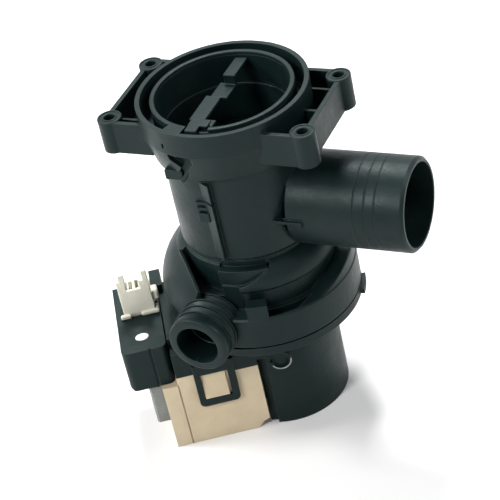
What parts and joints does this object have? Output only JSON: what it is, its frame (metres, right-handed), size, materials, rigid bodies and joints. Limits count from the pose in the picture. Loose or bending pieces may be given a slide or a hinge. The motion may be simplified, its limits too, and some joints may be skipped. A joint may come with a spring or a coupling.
{
  "type": "drain pump",
  "caption": "Black drain pump of a washing machine with a filter chamber, a side inlet tube, a barbed outlet spigot, a beige coil case and a plug header.",
  "frame": {"origin": "centre of the four lug faces, on the pump axis", "axes": "+Z along the pump axis out of the filter mouth, +X along the inlet tube, -Y along the outlet spigot"},
  "size_m": [0.1487, 0.0973, 0.1586],
  "materials": {
    "black_plastic": "satin",
    "beige_plastic": "matt",
    "cream_plastic": "matt",
    "white_plastic": "satin",
    "lamination_steel": "laminated",
    "shaft_steel": "ground",
    "copper_wire": "enamelled",
    "rubber": "matt",
    "ferrite": "pressed",
    "bearing_graphite": "smooth",
    "tin_plated_brass": "plated"
  },
  "bodies": {
    "pump": {"pump_housing": "black_plastic", "filter_guide_bar": "black_plastic", "motor_carrier": "black_plastic", "joint_seal": "rubber", "bearing_cap": "black_plastic", "shaft_seal": "rubber", "front_bearing": "bearing_graphite", "front_bearing_ring": "rubber", "rear_bearing": "bearing_graphite", "rear_bearing_ring": "rubber", "stator_core": "lamination_steel", "stator_yoke": "lamination_steel", "bobbin_front": "white_plastic", "bobbin_rear": "white_plastic", "winding_front": "copper_wire", "winding_rear": "copper_wire", "coil_case": "beige_plastic", "coil_end_cap": "beige_plastic", "terminal_box": "black_plastic", "connector_header": "cream_plastic", "terminal_tabs": "tin_plated_brass", "thermal_fuse": "white_plastic"},
    "rotor": {"rotor_magnet": "ferrite", "rotor_core": "white_plastic", "rotor_shaft": "shaft_steel", "impeller_driver": "white_plastic", "front_thrust_washer": "white_plastic", "rear_thrust_washer": "white_plastic"},
    "wheel": {"impeller": "black_plastic", "hub_cover": "white_plastic"}
  },
  "joints": [
    {"name": "rotor_spin", "type": "hinge", "parent": "pump", "child": "rotor", "pos_m": [0, 0, -0.13], "axis": [0, 0, 1], "continuous": true},
    {"name": "impeller_play", "type": "hinge", "parent": "rotor", "child": "wheel", "pos_m": [0, 0, -0.093], "axis": [0, 0, 1], "range_deg": [0, 234]}
  ]
}
